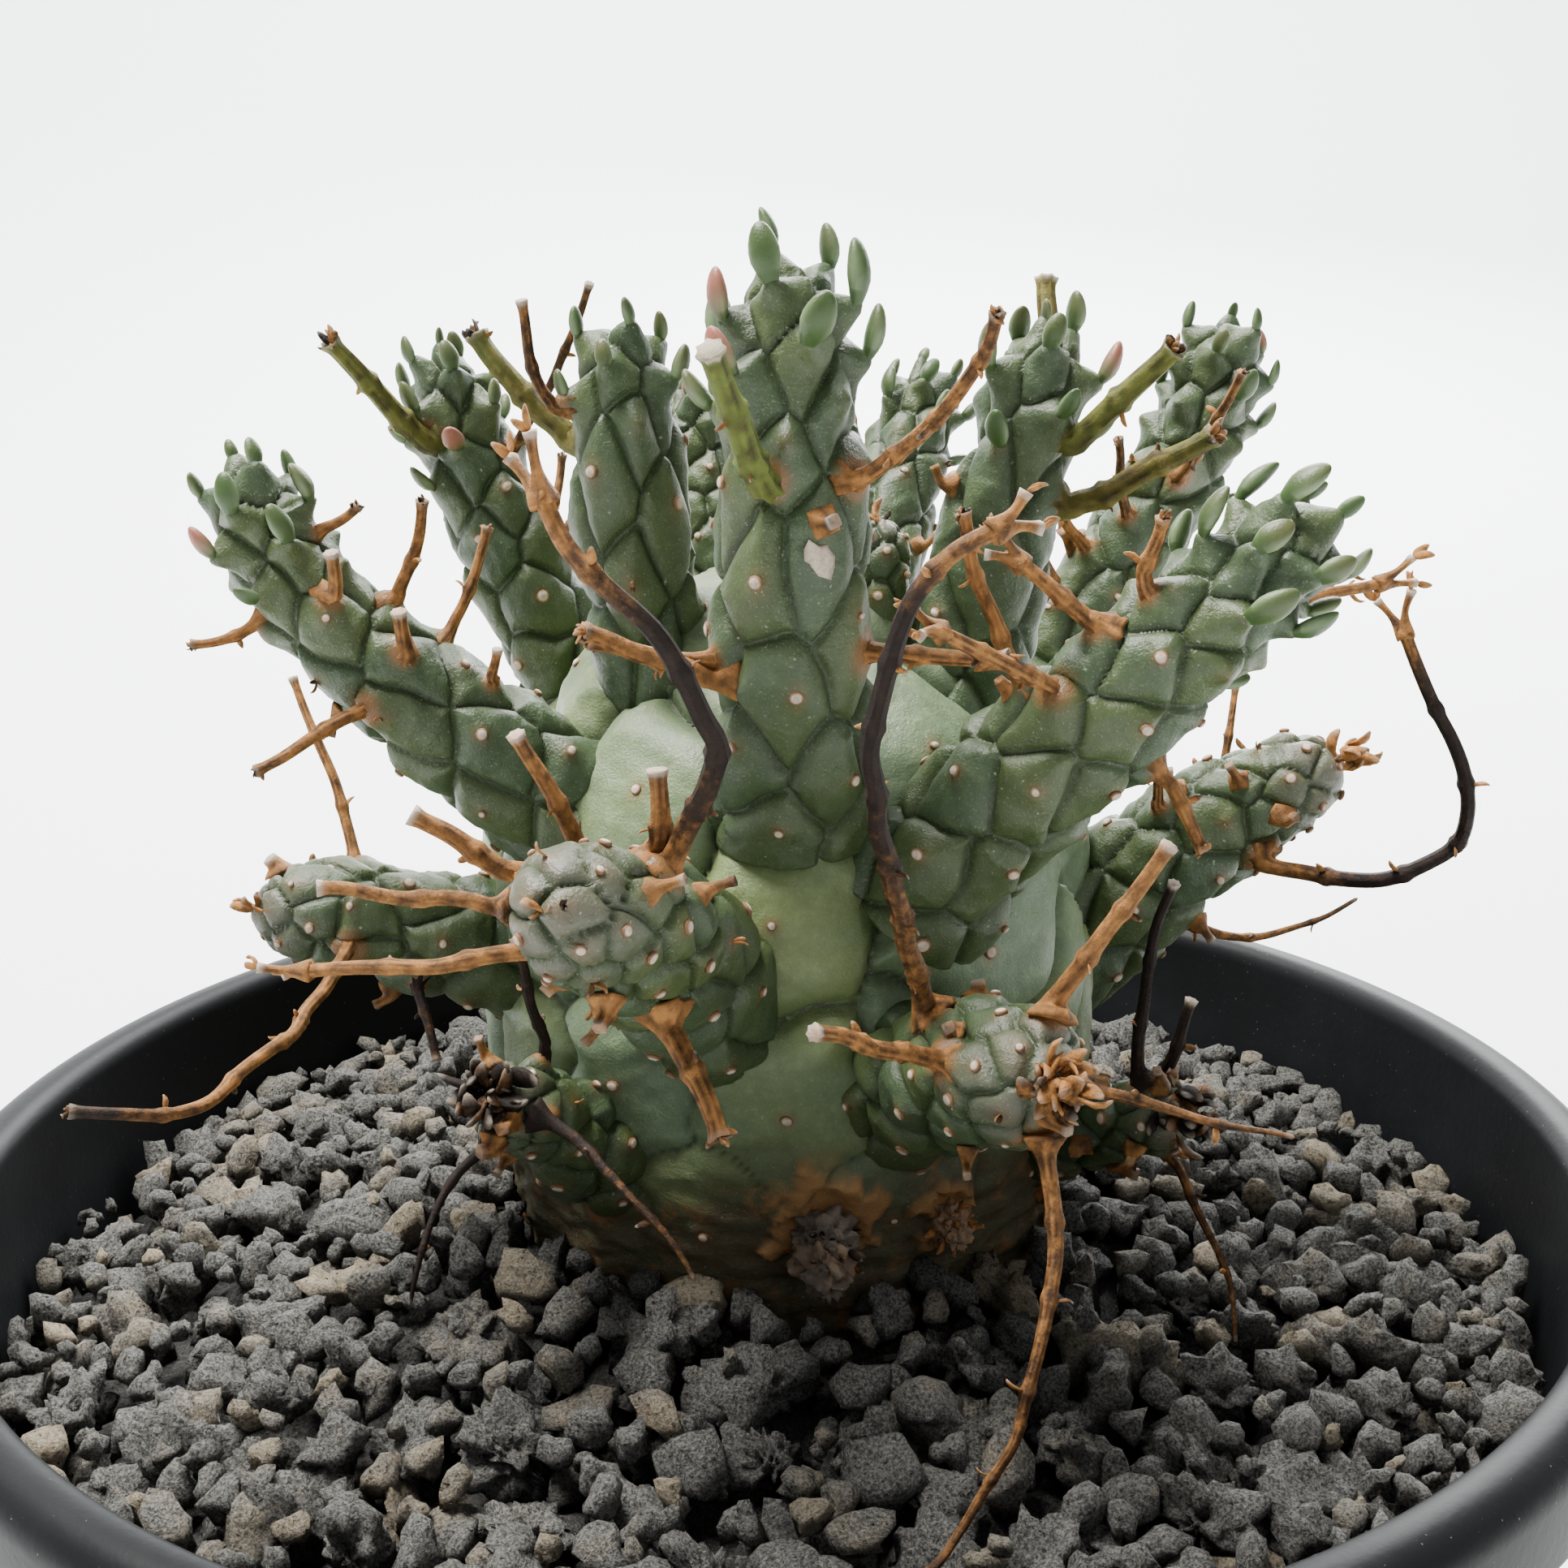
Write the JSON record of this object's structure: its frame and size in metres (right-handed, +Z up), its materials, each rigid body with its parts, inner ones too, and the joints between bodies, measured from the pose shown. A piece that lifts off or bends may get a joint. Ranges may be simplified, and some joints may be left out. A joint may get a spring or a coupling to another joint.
{
  "type": "potted euphorbia",
  "caption": "Medusa-head euphorbia with a barrel-shaped stem, knobbly arms, small tip leaves and dried flower stalks, in a round nursery pot topped with lava grit.",
  "frame": {"origin": "centre of the pot's base, on the surface it stands on", "axes": "+Z up the pot's axis, -Y toward the viewer of the plant's front, +X to that viewer's right"},
  "size_m": [0.12, 0.12, 0.1538],
  "materials": {
    "pot_plastic": "satin black with fine pale specks",
    "lava_grit": "rough porous grains, grey to tan",
    "plant_skin": "waxy blue-green succulent skin",
    "leaf": "fleshy green leaf",
    "dried_stalk": "dry matt orange-brown to black stalk"
  },
  "bodies": {
    "root": {"arm_back_centre": "plant_skin", "arm_back_high": "plant_skin", "arm_back_left": "plant_skin", "arm_back_low_left": "plant_skin", "arm_back_low_right": "plant_skin", "arm_back_mid": "plant_skin", "arm_back_right": "plant_skin", "arm_crown": "plant_skin", "arm_foot_left": "plant_skin", "arm_foot_right": "plant_skin", "arm_foot_right_front": "plant_skin", "arm_front": "plant_skin", "arm_front_left": "plant_skin", "arm_left": "plant_skin", "arm_left_of_centre": "plant_skin", "arm_low_left": "plant_skin", "arm_low_right": "plant_skin", "arm_right_front": "plant_skin", "arm_right_of_centre": "plant_skin", "caudex": "plant_skin", "lava_grit": "lava_grit", "leaves_back_centre": "leaf", "leaves_back_high": "leaf", "leaves_back_left": "leaf", "leaves_back_low_left": "leaf", "leaves_back_mid": "leaf", "leaves_back_right": "leaf", "leaves_front": "leaf", "leaves_left": "leaf", "leaves_left_of_centre": "leaf", "leaves_right_front": "leaf", "leaves_right_of_centre": "leaf", "pot": "pot_plastic", "stalk_crossing_right": "dried_stalk", "stalk_curling_left": "dried_stalk", "stalk_drooping": "dried_stalk", "stalk_forked_left": "dried_stalk", "stalk_forked_right": "dried_stalk", "stalk_green_front": "dried_stalk", "stalk_hooked_left": "dried_stalk", "stalk_long_left": "dried_stalk", "stalk_long_right": "dried_stalk", "stalk_looping_right": "dried_stalk", "stalk_low_right": "dried_stalk", "stalk_outer_back_left": "dried_stalk", "stalk_outer_back_right": "dried_stalk", "stalk_outer_right": "dried_stalk", "stalk_red_front": "dried_stalk", "stalk_side_right": "dried_stalk", "stalk_straight_back_left": "dried_stalk", "stalk_stub_front": "dried_stalk", "stalk_upright_left": "dried_stalk", "stalk_upright_right": "dried_stalk", "stone_back": "lava_grit", "stone_front": "lava_grit", "stone_left": "lava_grit", "stone_right": "lava_grit"}
  },
  "joints": []
}
